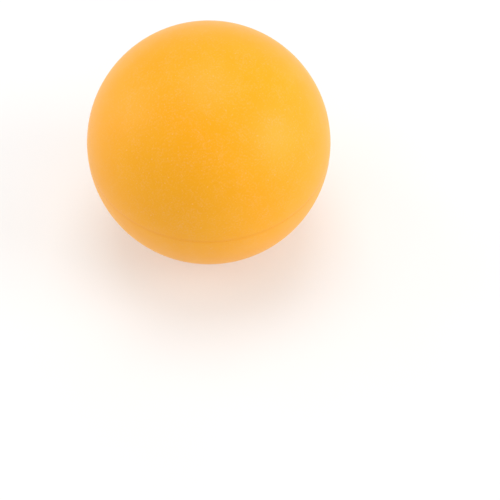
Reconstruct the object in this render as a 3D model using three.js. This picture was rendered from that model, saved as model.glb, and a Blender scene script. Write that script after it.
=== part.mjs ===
// A table tennis ball. Two half shells are moulded separately, lapped at their rims and
// cemented into one sealed, hollow ball.
//
// Millimetres, +Z up. The origin is the centre of the ball, and the seam lies in z = 0.
import * as THREE from "three";

// The ball.
const BALL_DIAMETER = 40;
const WALL = 0.48;

// The rim is the band beside the seam, where both half shells are bored straight so that the
// moulding core draws out. The bore runs into the plain wall where the two surfaces meet.
const RIM_WALL = 0.85;

// The lap joint: the lower shell's spigot stands inside the upper shell's lip.
const SPIGOT_HEIGHT = 1;
const SPIGOT_CHAMFER = 0.12;

// The cement between the rims, and the bead that it squeezes out on the inside.
const CEMENT_FILM = 0.05;
const BEAD_HEIGHT = 0.5;
const BEAD_DEPTH = 0.15;

// Facets. A multiple of 4 round the seam puts corners on the X and Y axes.
const SEAM_SEGMENTS = 72;
const WALL_STEPS = 18;
const BEAD_STEPS = 4;

// Places that follow from the sizes above.
const outerRadius = BALL_DIAMETER / 2;
const innerRadius = outerRadius - WALL;
const boreRadius = outerRadius - RIM_WALL;
const boreHeight = Math.sqrt(innerRadius ** 2 - boreRadius ** 2);
const lapWall = (RIM_WALL - CEMENT_FILM) / 2;
const spigotRadius = boreRadius + lapWall;
const lipRadius = outerRadius - lapWall;
const halfFilm = CEMENT_FILM / 2;
const seamRadius = Math.sqrt(outerRadius ** 2 - halfFilm ** 2);
const spigotTop = SPIGOT_HEIGHT - halfFilm;
const rebateTop = SPIGOT_HEIGHT + halfFilm;

const shellPlastic = new THREE.MeshStandardMaterial({
  color: 0xf8b02c,
  roughness: 0.55,
  metalness: 0,
});
const cement = new THREE.MeshStandardMaterial({
  color: 0xf2a52a,
  roughness: 0.35,
  metalness: 0,
});

// An outline is a list of points in the half plane through the axis: radius and height.
const point = (radius, height) => new THREE.Vector2(radius, height);

// An arc about the ball's centre, from the height `from` to the pole.
function arcToPole(radius, from) {
  const start = Math.asin(from / radius);
  const points = [];
  for (let step = 0; step < WALL_STEPS; step += 1) {
    const elevation = start + ((Math.PI / 2 - start) * step) / WALL_STEPS;
    points.push(point(radius * Math.cos(elevation), radius * Math.sin(elevation)));
  }
  return [...points, point(0, radius)];
}

const mirrored = (outline) => outline.map(({ x, y }) => point(x, -y));

// A solid of revolution about +Z. The outline runs with the material on its left.
function turned(name, outline, material) {
  const geometry = new THREE.LatheGeometry(outline, SEAM_SEGMENTS);
  geometry.rotateX(Math.PI / 2);
  const mesh = new THREE.Mesh(geometry, material);
  mesh.name = name;
  return mesh;
}

// The upper half shell: its lip overhangs a rebate that takes the spigot.
function upperHalfShell() {
  const outside = arcToPole(outerRadius, halfFilm);
  const inside = arcToPole(innerRadius, boreHeight).reverse();
  const rim = [
    point(boreRadius, rebateTop),
    point(lipRadius, rebateTop),
    point(lipRadius, halfFilm),
  ];
  return turned("upper_half_shell", [...inside, ...rim, ...outside], shellPlastic);
}

// The lower half shell: its rim steps in to a shoulder and rises as the spigot.
function lowerHalfShell() {
  const outside = mirrored(arcToPole(outerRadius, halfFilm)).reverse();
  const inside = mirrored(arcToPole(innerRadius, boreHeight));
  const rim = [
    point(spigotRadius, -halfFilm),
    point(spigotRadius, spigotTop - SPIGOT_CHAMFER),
    point(spigotRadius - SPIGOT_CHAMFER, spigotTop),
    point(boreRadius, spigotTop),
  ];
  return turned("lower_half_shell", [...outside, ...rim, ...inside], shellPlastic);
}

// The cement fills the stepped gap of the lap and stands proud inside as a rounded bead.
function seamCement() {
  const bead = [];
  for (let step = 1; step < BEAD_STEPS; step += 1) {
    const turn = (Math.PI * step) / BEAD_STEPS;
    bead.push(
      point(
        boreRadius - BEAD_DEPTH * Math.sin(turn),
        SPIGOT_HEIGHT + (BEAD_HEIGHT / 2) * Math.cos(turn),
      ),
    );
  }
  const outline = [
    point(seamRadius, -halfFilm),
    point(seamRadius, halfFilm),
    point(lipRadius, halfFilm),
    point(lipRadius, rebateTop),
    point(boreRadius, rebateTop),
    point(boreRadius, SPIGOT_HEIGHT + BEAD_HEIGHT / 2),
    ...bead,
    point(boreRadius, SPIGOT_HEIGHT - BEAD_HEIGHT / 2),
    point(boreRadius, spigotTop),
    point(spigotRadius - SPIGOT_CHAMFER, spigotTop),
    point(spigotRadius, spigotTop - SPIGOT_CHAMFER),
    point(spigotRadius, -halfFilm),
    point(seamRadius, -halfFilm),
  ];
  return turned("seam_cement", outline, cement);
}

const ball = new THREE.Group();
ball.add(upperHalfShell(), lowerHalfShell(), seamCement());

export default ball;
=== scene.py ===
"""The looks of a table tennis ball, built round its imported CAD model.

Each CAD solid is a coarse turned shape. Its outline is read from the model, its arcs are made
finer, and it is turned again at a resolution that reads as a true sphere, with the ground seam
cut into it. Metres throughout, in the row frame: +Z is normal to the seam.
"""

import math

import bpy
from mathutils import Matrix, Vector


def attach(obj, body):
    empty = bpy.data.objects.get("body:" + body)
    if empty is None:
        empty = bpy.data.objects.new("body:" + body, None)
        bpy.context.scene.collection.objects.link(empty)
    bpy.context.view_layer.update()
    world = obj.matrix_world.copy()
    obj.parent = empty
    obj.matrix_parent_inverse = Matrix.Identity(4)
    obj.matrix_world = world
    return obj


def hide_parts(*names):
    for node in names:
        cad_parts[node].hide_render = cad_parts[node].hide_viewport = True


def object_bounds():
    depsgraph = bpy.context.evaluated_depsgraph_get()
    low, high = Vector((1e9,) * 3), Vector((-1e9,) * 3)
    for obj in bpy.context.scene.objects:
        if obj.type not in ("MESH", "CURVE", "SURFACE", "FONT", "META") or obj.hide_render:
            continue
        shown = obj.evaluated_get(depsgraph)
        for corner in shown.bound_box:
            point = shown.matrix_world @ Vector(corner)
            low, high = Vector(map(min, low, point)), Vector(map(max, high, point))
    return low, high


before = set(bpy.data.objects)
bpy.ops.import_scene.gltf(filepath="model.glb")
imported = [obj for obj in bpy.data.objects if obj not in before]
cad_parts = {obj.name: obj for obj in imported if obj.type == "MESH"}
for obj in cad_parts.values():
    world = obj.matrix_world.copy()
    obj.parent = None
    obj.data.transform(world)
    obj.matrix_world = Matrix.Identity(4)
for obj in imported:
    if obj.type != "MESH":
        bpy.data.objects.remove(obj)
cad_low, cad_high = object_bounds()

MM = 0.001
RADIUS = (cad_high.z - cad_low.z) / 2
DIAMETER = 2 * RADIUS

# Turning: facets round the axis, and steps for each chord of the CAD outline's arcs.
SEGMENTS = 288
OUTER_STEPS = 6
INNER_STEPS = 2
SEAM_STEPS = 16
CREASE = math.radians(25)

# Tolerances: radii this alike are one arc, and a point this near the plane or axis is on it.
SAME_RADIUS = 0.002 * MM
ON_PLANE = 0.0005 * MM

# The seam is ground flush after cementing, which leaves a shallow band. This is half its width.
SEAM_BAND = 0.45 * MM
SEAM_DEPTH = 0.007 * MM
CEMENT_RECESS = 0.004 * MM

# Colours, as linear light.
DEEP_ORANGE = (0.945, 0.394, 0.0, 1)
WARM_ORANGE = (0.95, 0.407, 0.004, 1)
SEAM_ORANGE = (0.93, 0.36, 0.0, 1)
FROST = (0.97, 0.58, 0.3, 1)
DUST = (0.42, 0.2, 0.05, 1)
CEMENT = (0.9, 0.345, 0.002, 1)
CEMENT_PALE = (0.93, 0.41, 0.02, 1)
FLOOR_WHITE = (0.7, 0.7, 0.7, 1)
FLOOR_SHADE = (0.67, 0.67, 0.67, 1)
WHITE = (1, 1, 1, 1)

# Noise: the scales, per millimetre, and the range that holds most of a noise's values.
CLOUD_PER_MM = 0.16
PATCH_PER_MM = 0.45
GRAIN_PER_MM = 3.4
FLOW_PER_MM = 0.9
TONE_PER_MM = 0.02
NOISE_RANGE = (0.3, 0.7)

# Flecks: spacing and radius in mm, the share of the cells that hold one, and how strong it is.
# The core is the share of the radius at full strength, and the faintest is a share of strength.
LARGE_FLECKS = {"spacing": 1.3, "radius": 0.17, "share": 0.5, "strength": 0.26}
SMALL_FLECKS = {"spacing": 0.5, "radius": 0.13, "share": 0.5, "strength": 0.18}
DARK_FLECKS = {"spacing": 7.0, "radius": 0.16, "share": 0.35, "strength": 0.3}
VOIDS = {"spacing": 0.9, "radius": 0.12, "share": 0.3, "strength": 0.5}
FLECK_CORE = 0.4
FAINTEST_FLECK = 0.4
SHARE_EDGE = 0.02

# Shell plastic. Frost shows where the grain, with a share of the patches, is in the range.
FROST_RANGE = (0.6, 0.88)
FROST_STRENGTH = 0.14
PATCH_IN_FROST = 0.3
PATCH_IN_BUMP = 0.8
LEFT_BY_GRINDING = 0.25
SEAM_TINT = 0.6
SHELL_ROUGHNESS = (0.36, 0.48)
SEAM_ROUGHNESS_DROP = 0.1
SHELL_SPECULAR = 0.27
SHELL_SHEEN = 0.05
SHEEN_ROUGHNESS = 0.4
SHELL_BUMP = 0.012 * MM

# Seam cement.
PALE_RANGE = (0.35, 0.7)
PALE_STRENGTH = 0.6
CEMENT_ROUGHNESS = (0.3, 0.45)
CEMENT_BUMP = 0.01 * MM

# Floor: its glow keeps it white and the ball's shadow light.
FLOOR_GLOW = 0.25
FLOOR_ROUGHNESS = 0.9
FLOOR_SPECULAR = 0.2
FLOOR_HALF_WIDTH = 120 * DIAMETER

# Camera: the ball stands up and left of the middle of the frame, seen from above. The lens and
# the sensor are in millimetres.
CAMERA_ELEVATION = math.radians(55)
LENS = 130
SENSOR_WIDTH = 36
DISTANCE = 7.43 * DIAMETER
AIM_RIGHT = 0.169 * DIAMETER
AIM_BELOW = 0.441 * DIAMETER
CLIP_NEAR = 0.01
CLIP_FAR = 20

# Light: the directions of the softboxes from the ball, and their watts.
LAMP_DISTANCE = 15 * DIAMETER
LAMP_WIDTH = 9 * DIAMETER
LAMPS = {
    "key": (Vector((1, -0.2, 0.45)), 1.4),
    "top": (Vector((0, 0.28, 1)), 1.1),
    "fill": (Vector((-1, 0.2, 0.4)), 0.75),
}
WORLD_STRENGTH = 0.69


# Outlines


def neighbours(items, closed):
    """Each item with the next one, and the last with the first if the row is closed."""
    return list(zip(items, items[1:] + items[:1] if closed else items[1:]))


def section(node):
    """The CAD node's outline as (radius, height) points, with the material on its left."""
    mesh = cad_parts[node].data
    flat = {
        v.index: (round(v.co.x, 8), round(v.co.z, 8))
        for v in mesh.vertices
        if abs(v.co.y) < ON_PLANE and v.co.x > -ON_PLANE
    }
    beside = {}
    for edge in mesh.edges:
        a, b = (flat.get(i) for i in edge.vertices)
        if a and b and a != b:
            beside.setdefault(a, set()).add(b)
            beside.setdefault(b, set()).add(a)
    ends = sorted(p for p in beside if len(beside[p]) == 1)
    outline = [ends[0] if ends else min(beside)]
    while True:
        onward = [p for p in sorted(beside[outline[-1]]) if p not in outline]
        if not onward:
            break
        outline.append(onward[0])
    area = sum(a[0] * b[1] - b[0] * a[1] for a, b in neighbours(outline, closed=True))
    return outline if area > 0 else outline[::-1]


def is_outside(point):
    return math.hypot(*point) > RADIUS - SAME_RADIUS


def arc_fractions(a, b):
    """Where the finer points of an arc from a to b lie: close together beside the seam."""
    if not (is_outside(a) and is_outside(b)):
        return [k / INNER_STEPS for k in range(INNER_STEPS)]
    if abs(a[1]) < SEAM_BAND and abs(b[1]) > SEAM_BAND:
        return [(k / SEAM_STEPS) ** 2 for k in range(SEAM_STEPS)]
    if abs(b[1]) < SEAM_BAND and abs(a[1]) > SEAM_BAND:
        return [1 - (1 - k / SEAM_STEPS) ** 2 for k in range(SEAM_STEPS)]
    return [k / OUTER_STEPS for k in range(OUTER_STEPS)]


def finer(outline, closed):
    """The outline with more points on its arcs, which are chords with equally distant ends."""
    points = []
    for a, b in neighbours(outline, closed):
        radius, other = math.hypot(*a), math.hypot(*b)
        if abs(radius - other) > SAME_RADIUS:
            points.append(a)
            continue
        start, end = math.atan2(a[1], a[0]), math.atan2(b[1], b[0])
        for fraction in arc_fractions(a, b):
            angle = start + (end - start) * fraction
            points.append((radius * math.cos(angle), radius * math.sin(angle)))
    return points if closed else points + [outline[-1]]


def smooth_step(x):
    x = min(max(x, 0.0), 1.0)
    return x * x * (3 - 2 * x)


def ground(point, extra=0.0):
    """An outline point after the seam is ground: pulled in near the seam, if it is outside."""
    if not is_outside(point):
        return point
    depth = SEAM_DEPTH * (1 - smooth_step(abs(point[1]) / SEAM_BAND)) + extra
    scale = 1 - depth / math.hypot(*point)
    return (point[0] * scale, point[1])


# Pieces


def turned(name, outline, closed):
    """A closed solid of revolution about +Z."""
    verts, rings = [], []
    turns = [2 * math.pi * k / SEGMENTS for k in range(SEGMENTS)]
    for radius, height in outline:
        first = len(verts)
        if radius < ON_PLANE:
            verts.append((0, 0, height))
            rings.append([first] * SEGMENTS)
            continue
        verts += [(radius * math.cos(t), radius * math.sin(t), height) for t in turns]
        rings.append(list(range(first, first + SEGMENTS)))
    faces = []
    for ring, onward in neighbours(rings, closed):
        for k in range(SEGMENTS):
            j = (k + 1) % SEGMENTS
            corners = [ring[k], ring[j], onward[j], onward[k]]
            faces.append(list(dict.fromkeys(corners)))
    mesh = bpy.data.meshes.new(name)
    mesh.from_pydata(verts, [], faces)
    mesh.validate()
    mesh.shade_smooth()
    mesh.set_sharp_from_angle(angle=CREASE)
    piece = bpy.data.objects.new(name, mesh)
    bpy.context.scene.collection.objects.link(piece)
    return piece


def finish_piece(piece, node, material):
    """The piece takes its material and rides on the ball, and its CAD node is hidden."""
    piece.data.materials.append(material)
    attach(piece, "root")
    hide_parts(node)


def half_shell(node, name, material):
    outline = [ground(p) for p in finer(section(node), closed=False)]
    finish_piece(turned(name, outline, closed=False), node, material)


def cement_ring(material):
    node = "seam_cement"
    outline = [ground(p, CEMENT_RECESS) for p in finer(section(node), closed=True)]
    finish_piece(turned("cement_ring", outline, closed=True), node, material)


# Material nodes


def feed(tree, node, inputs):
    """Each input of the node, given by place or name, takes a link or a value."""
    for place, value in inputs.items():
        if isinstance(value, bpy.types.NodeSocket):
            tree.links.new(value, node.inputs[place])
        else:
            node.inputs[place].default_value = value


def add(tree, kind, *values, settings=None, **inputs):
    """A new node. Its inputs are filled in order and by name."""
    made = tree.nodes.new(kind)
    for key, value in (settings or {}).items():
        setattr(made, key, value)
    feed(tree, made, {**dict(enumerate(values)), **inputs})
    return made


def sum_of(tree, a, b):
    return add(tree, "ShaderNodeMath", a, b, settings={"operation": "ADD"}).outputs[0]


def product(tree, a, b):
    return add(tree, "ShaderNodeMath", a, b, settings={"operation": "MULTIPLY"}).outputs[0]


def ramp(tree, value, low, high, at_low=0.0, at_high=1.0):
    """value from low to high, eased to at_low to at_high, and held beyond both ends."""
    settings = {"interpolation_type": "SMOOTHSTEP", "clamp": True}
    made = add(tree, "ShaderNodeMapRange", value, low, high, at_low, at_high, settings=settings)
    return made.outputs[0]


def colour_mix(tree, share, a, b):
    """Colour a, with this share of colour b. The colour sockets of a Mix node are 6 and 7."""
    made = add(tree, "ShaderNodeMix", settings={"data_type": "RGBA"})
    feed(tree, made, {0: share, 6: a, 7: b})
    return made.outputs[2]


def noise(tree, place, per_mm, detail=2.0, roughness=0.5):
    settings = {"Scale": per_mm, "Detail": detail, "Roughness": roughness}
    return add(tree, "ShaderNodeTexNoise", Vector=place, **settings).outputs[0]


def bump(tree, height, distance):
    made = add(tree, "ShaderNodeBump", Strength=1.0, Distance=distance, Height=height)
    return made.outputs[0]


def millimetres(tree):
    """The place on the object in millimetres."""
    place = add(tree, "ShaderNodeTexCoord").outputs["Object"]
    settings = {"operation": "SCALE"}
    return add(tree, "ShaderNodeVectorMath", place, Scale=1 / MM, settings=settings).outputs[0]


def flecks(tree, place, spacing, radius, share, strength):
    """Scattered round flecks, at most one in each cell, some fainter than others."""
    cells = add(tree, "ShaderNodeTexVoronoi", Vector=place, Scale=1 / spacing)
    edge = radius / spacing
    shape = ramp(tree, cells.outputs["Distance"], edge * FLECK_CORE, edge, 1.0, 0.0)
    chance = add(tree, "ShaderNodeSeparateColor", cells.outputs["Color"])
    held = ramp(tree, chance.outputs[0], share, share + SHARE_EDGE, 1.0, 0.0)
    power = ramp(tree, chance.outputs[1], 0.0, 1.0, FAINTEST_FLECK, 1.0)
    return product(tree, product(tree, product(tree, shape, held), power), strength)


def near_seam(tree, place, width):
    """1 on the inner half of the seam's band, falling to 0 at its edge. width is in mm."""
    height = add(tree, "ShaderNodeSeparateXYZ", place).outputs[2]
    size = add(tree, "ShaderNodeMath", height, settings={"operation": "ABSOLUTE"})
    return ramp(tree, size.outputs[0], width / 2, width, 1.0, 0.0)


def new_material(name):
    material = bpy.data.materials.new(name)
    material.use_nodes = True
    tree = material.node_tree
    tree.nodes.clear()
    shader = add(tree, "ShaderNodeBsdfPrincipled")
    add(tree, "ShaderNodeOutputMaterial", shader.outputs[0])
    return material, tree, shader


# Materials


def shell_plastic():
    """Frosted orange plastic: cloudy colour, a fine pale grain, pale flecks, a few dark ones."""
    material, tree, shader = new_material("frosted_orange")
    place = millimetres(tree)
    cloud = noise(tree, place, CLOUD_PER_MM, detail=3.0, roughness=0.55)
    patch = noise(tree, place, PATCH_PER_MM)
    grain = noise(tree, place, GRAIN_PER_MM, detail=3.0, roughness=0.7)
    seam = near_seam(tree, place, SEAM_BAND / MM)
    unground = ramp(tree, seam, 0.0, 1.0, 1.0, LEFT_BY_GRINDING)

    colour = colour_mix(tree, ramp(tree, cloud, *NOISE_RANGE), DEEP_ORANGE, WARM_ORANGE)
    frost = sum_of(tree, grain, product(tree, patch, PATCH_IN_FROST))
    frost = ramp(tree, frost, *FROST_RANGE, 0.0, FROST_STRENGTH)
    colour = colour_mix(tree, product(tree, frost, unground), colour, FROST)
    for size in (LARGE_FLECKS, SMALL_FLECKS):
        pale = flecks(tree, place, **size)
        colour = colour_mix(tree, product(tree, pale, unground), colour, FROST)
    colour = colour_mix(tree, product(tree, seam, SEAM_TINT), colour, SEAM_ORANGE)
    colour = colour_mix(tree, flecks(tree, place, **DARK_FLECKS), colour, DUST)

    rough = ramp(tree, grain, *NOISE_RANGE, *SHELL_ROUGHNESS)
    rough = sum_of(tree, rough, product(tree, seam, -SEAM_ROUGHNESS_DROP))
    height = sum_of(tree, grain, product(tree, patch, PATCH_IN_BUMP))
    height = product(tree, height, unground)
    looks = {
        "Base Color": colour,
        "Roughness": rough,
        "Specular IOR Level": SHELL_SPECULAR,
        "Sheen Weight": SHELL_SHEEN,
        "Sheen Roughness": SHEEN_ROUGHNESS,
        "Normal": bump(tree, height, SHELL_BUMP),
    }
    feed(tree, shader, looks)
    return material


def seam_cement():
    """The cement: the same orange, darker and smoother, with small pale voids."""
    material, tree, shader = new_material("seam_glue")
    place = millimetres(tree)
    flow = noise(tree, place, FLOW_PER_MM, detail=3.0, roughness=0.6)
    pale = ramp(tree, flow, *PALE_RANGE, 0.0, PALE_STRENGTH)
    colour = colour_mix(tree, pale, CEMENT, CEMENT_PALE)
    colour = colour_mix(tree, flecks(tree, place, **VOIDS), colour, FROST)
    looks = {
        "Base Color": colour,
        "Roughness": ramp(tree, flow, *NOISE_RANGE, *CEMENT_ROUGHNESS),
        "Normal": bump(tree, flow, CEMENT_BUMP),
    }
    feed(tree, shader, looks)
    return material


def floor_white():
    """Matt white sheet, faintly lit from below, barely uneven in tone."""
    material, tree, shader = new_material("white_paper")
    tone = noise(tree, millimetres(tree), TONE_PER_MM)
    looks = {
        "Base Color": colour_mix(tree, ramp(tree, tone, *NOISE_RANGE), FLOOR_SHADE, FLOOR_WHITE),
        "Roughness": FLOOR_ROUGHNESS,
        "Specular IOR Level": FLOOR_SPECULAR,
        "Emission Color": WHITE,
        "Emission Strength": FLOOR_GLOW,
    }
    feed(tree, shader, looks)
    return material


# Surroundings


def floor():
    """A wide sheet that the ball stands on."""
    half = FLOOR_HALF_WIDTH
    corners = [(-half, -half), (half, -half), (half, half), (-half, half)]
    mesh = bpy.data.meshes.new("floor")
    mesh.from_pydata([(x, y, cad_low.z) for x, y in corners], [], [(0, 1, 2, 3)])
    sheet = bpy.data.objects.new("floor", mesh)
    bpy.context.scene.collection.objects.link(sheet)
    mesh.materials.append(floor_white())


def softbox(name, direction, watts):
    """A large square lamp that faces the ball and is hidden from the camera."""
    light = bpy.data.lights.new(name, "AREA")
    light.shape = "SQUARE"
    light.size = LAMP_WIDTH
    light.energy = watts
    box = bpy.data.objects.new(name, light)
    box.location = direction.normalized() * LAMP_DISTANCE
    box.rotation_mode = "QUATERNION"
    box.rotation_quaternion = direction.to_track_quat("Z", "Y")
    box.visible_camera = False
    bpy.context.scene.collection.objects.link(box)


def surroundings():
    """An even pale sky, the lamps, and colours shown as they are."""
    world = bpy.data.worlds.new("studio")
    world.use_nodes = True
    background = world.node_tree.nodes["Background"]
    background.inputs["Color"].default_value = WHITE
    background.inputs["Strength"].default_value = WORLD_STRENGTH
    bpy.context.scene.world = world
    for name, (direction, watts) in LAMPS.items():
        softbox(name, direction, watts)
    bpy.context.scene.view_settings.view_transform = "Standard"
    bpy.context.scene.view_settings.look = "None"


def camera():
    """It looks down at a point to the right of the ball and below it, as the frame shows them."""
    data = bpy.data.cameras.new("camera")
    data.lens = LENS
    data.sensor_width = SENSOR_WIDTH
    data.clip_start = CLIP_NEAR
    data.clip_end = CLIP_FAR
    holder = bpy.data.objects.new("camera", data)
    e = CAMERA_ELEVATION
    forward = Vector((0, math.cos(e), -math.sin(e)))
    up = Vector((0, math.sin(e), math.cos(e)))
    aim = Vector((AIM_RIGHT, 0, 0)) - up * AIM_BELOW
    holder.location = aim - forward * DISTANCE
    holder.rotation_euler = (math.pi / 2 - e, 0, 0)
    bpy.context.scene.collection.objects.link(holder)
    bpy.context.scene.camera = holder


camera()
surroundings()
floor()
plastic = shell_plastic()
half_shell("upper_half_shell", "upper_shell", plastic)
half_shell("lower_half_shell", "lower_shell", plastic)
cement_ring(seam_cement())
